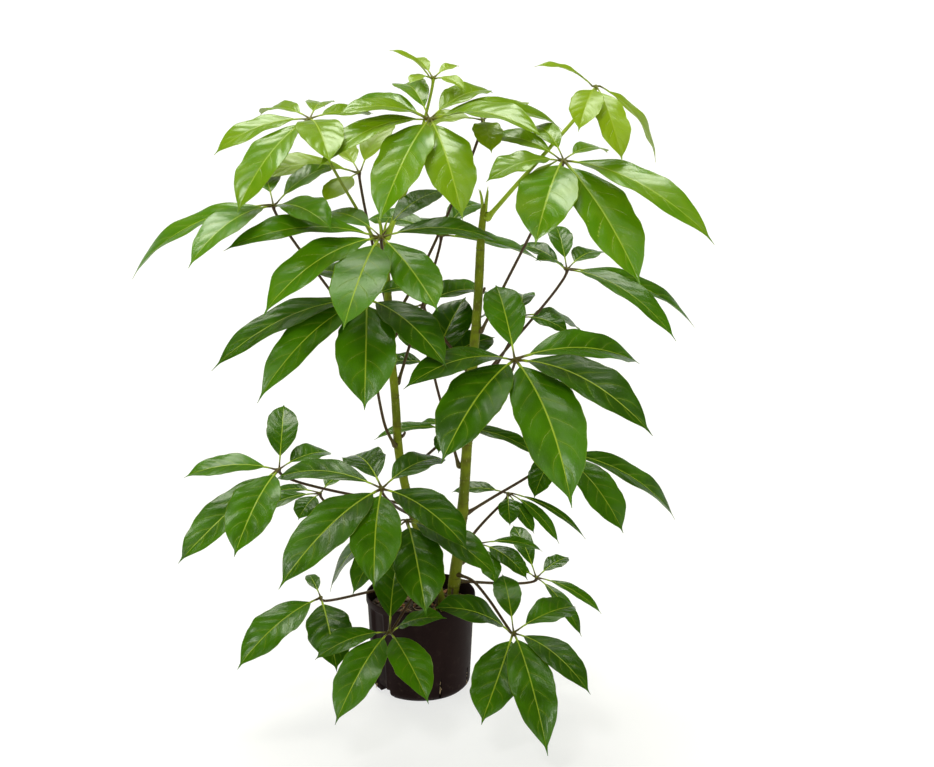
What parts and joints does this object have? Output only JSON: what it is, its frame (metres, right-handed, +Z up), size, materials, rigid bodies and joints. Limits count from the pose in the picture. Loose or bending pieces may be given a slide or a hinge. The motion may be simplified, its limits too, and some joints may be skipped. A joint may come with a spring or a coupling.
{
  "type": "potted umbrella plant",
  "caption": "Umbrella plant with drooping glossy leaflets on long stalks, grown on twin green trunks in a black nursery pot.",
  "frame": {"origin": "middle of the pot's base on the ground", "axes": "+Z up along the pot's axis; -Y towards the plant's best side; +X to the right seen from there"},
  "size_m": [0.9263, 0.5497, 1.0683],
  "materials": {
    "pot_plastic": "satin moulded black plastic",
    "substrate": "rough, granular",
    "trunk_bark": "smooth green bark with ring scars",
    "leaf": "glossy, leathery, with pale veins",
    "young_leaf": "soft gloss, pale green"
  },
  "bodies": {
    "root": {"leaf_above_rim": "leaf", "leaf_behind_crown": "leaf", "leaf_behind_right": "leaf", "leaf_behind_top_left": "leaf", "leaf_behind_trunks": "leaf", "leaf_between_trunks_lower": "leaf", "leaf_between_trunks_upper": "leaf", "leaf_crown_young": "young_leaf", "leaf_far_left_middle": "leaf", "leaf_far_left_upper": "leaf", "leaf_fork": "leaf", "leaf_front_of_pot": "leaf", "leaf_front_right": "leaf", "leaf_left_of_trunk": "leaf", "leaf_low_left": "leaf", "leaf_low_right": "leaf", "leaf_middle_left": "leaf", "leaf_middle_right": "leaf", "leaf_over_pot": "leaf", "leaf_right": "leaf", "leaf_right_lower": "leaf", "leaf_small_centre": "leaf", "leaf_small_left": "leaf", "leaf_small_right": "leaf", "leaf_top_centre": "leaf", "leaf_top_left": "leaf", "leaf_top_right_young": "young_leaf", "leaf_upper_right": "leaf", "pot": "pot_plastic", "substrate": "substrate", "trunk_left": "trunk_bark", "trunk_right": "trunk_bark"}
  },
  "joints": []
}
